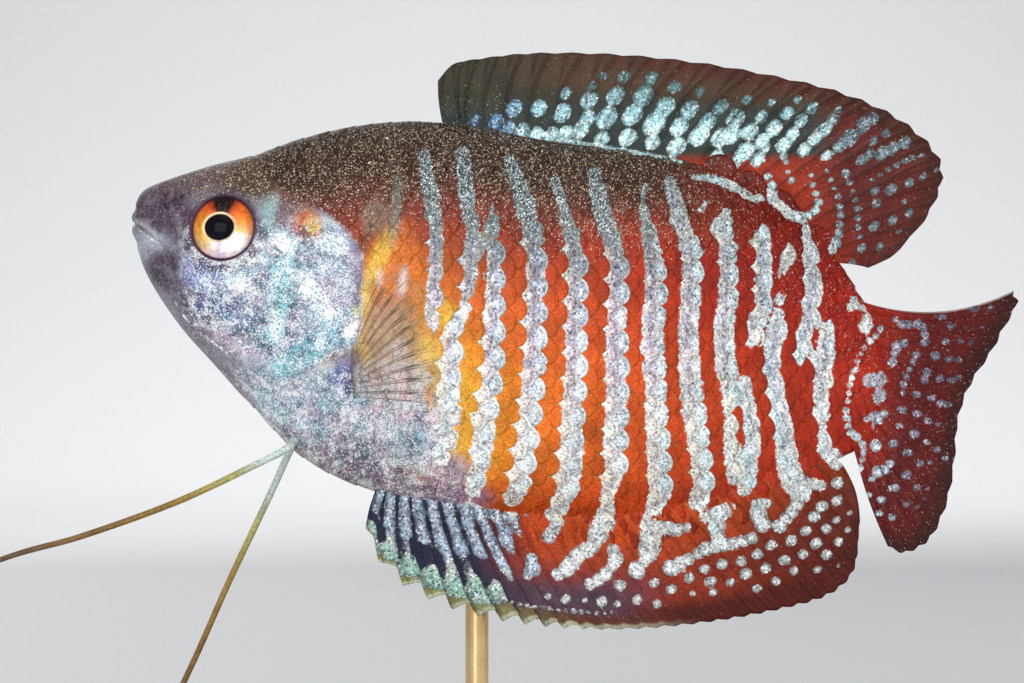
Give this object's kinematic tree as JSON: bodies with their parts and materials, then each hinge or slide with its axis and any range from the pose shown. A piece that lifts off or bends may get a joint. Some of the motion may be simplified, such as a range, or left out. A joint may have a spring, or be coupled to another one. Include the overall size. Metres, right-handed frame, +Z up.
{
  "type": "dwarf gourami",
  "caption": "Life-size adult male dwarf gourami, swimming nose up with fins spread and thread-like feelers, held by a rod on a flat wooden display base.",
  "frame": {"origin": "middle of the underside of the display base", "axes": "+Z up, the fish faces -X and its left side faces -Y, towards the viewer of the picture"},
  "size_m": [0.0978, 0.038, 0.0703],
  "materials": {
    "body_skin": "wet gloss, red and pale blue stripes",
    "head_skin": "wet gloss, silver and turquoise on purple grey",
    "fin_membrane": "satin, dark red with pale blue spots",
    "clear_fin": "clear amber with dark rays",
    "feeler": "satin olive",
    "eye": "wet gloss, orange iris",
    "stand_wood": "satin dark walnut",
    "stand_metal": "polished"
  },
  "bodies": {
    "root": {"head": "head_skin", "gill_cover_left": "head_skin", "gill_cover_right": "head_skin", "eye_left": "eye", "eye_right": "eye", "trunk": "body_skin", "tail_stem": "body_skin", "dorsal_fin": "fin_membrane", "anal_fin": "fin_membrane", "caudal_fin": "fin_membrane", "pectoral_fin_left": "clear_fin", "pectoral_fin_right": "clear_fin", "pelvic_feeler_left": "feeler", "pelvic_feeler_right": "feeler", "stand_base": "stand_wood", "stand_rod": "stand_metal"}
  },
  "joints": []
}
